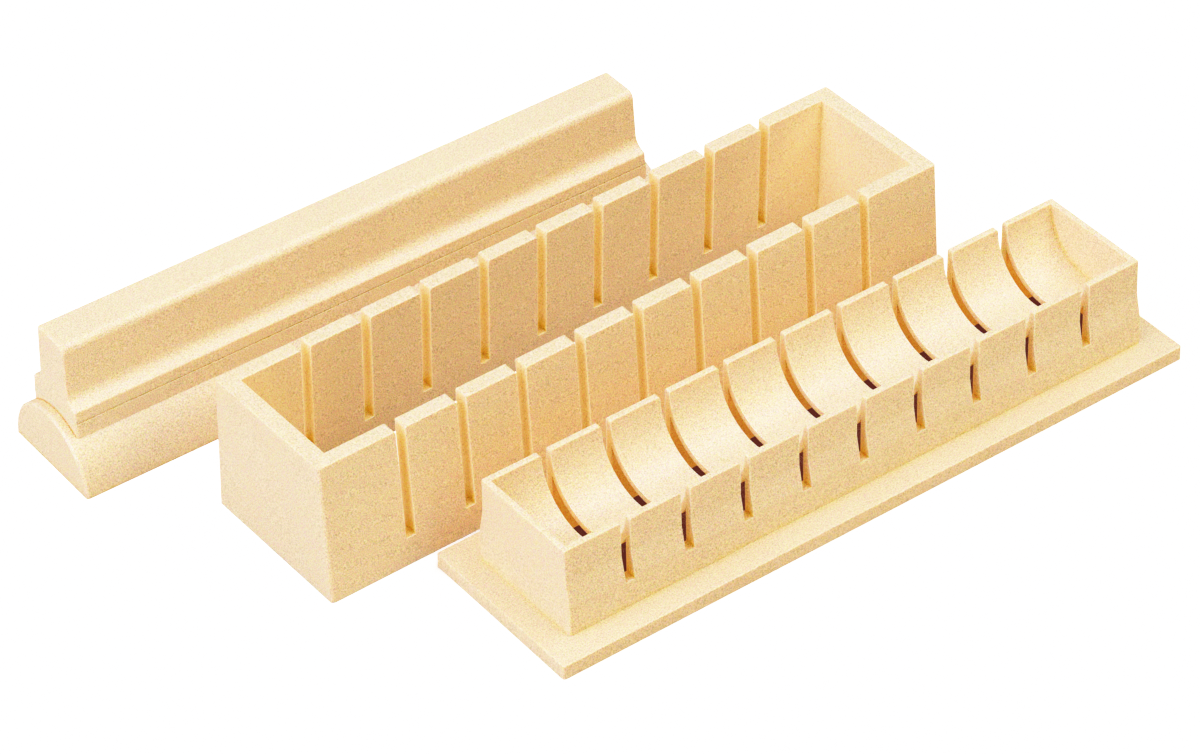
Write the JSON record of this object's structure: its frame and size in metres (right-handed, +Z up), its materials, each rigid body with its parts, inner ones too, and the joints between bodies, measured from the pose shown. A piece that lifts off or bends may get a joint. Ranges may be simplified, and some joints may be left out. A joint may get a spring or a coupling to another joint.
{
  "type": "sushi rice mold press",
  "caption": "Cream plastic mould set for thick sushi rolls: trough tray with knife slots, slotted open frame, and half-round press lid with a bar handle.",
  "frame": {"origin": "on the table, under the middle of the box round the three items as they stand side by side", "axes": "+X along the tray, +Y from the tray towards the frame and the press behind it, +Z up"},
  "size_m": [0.2776, 0.178, 0.0454],
  "materials": {
    "tray_plastic": "satin moulded surface with a very fine grain",
    "frame_plastic": "satin moulded surface with a very fine grain",
    "press_plastic": "satin moulded surface with a very fine grain"
  },
  "bodies": {
    "base": {"base_tray": "tray_plastic"},
    "frame": {"slotted_frame": "frame_plastic"},
    "press": {"press_lid": "press_plastic", "press_handle": "press_plastic"}
  },
  "joints": [
    {"name": "frame_lift", "type": "slide", "parent": "base", "child": "frame", "axis": [0, 0, 1], "range_m": [0, 0.06]},
    {"name": "press_lift", "type": "slide", "parent": "base", "child": "press", "axis": [0, 0, 1], "range_m": [0, 0.06]}
  ]
}
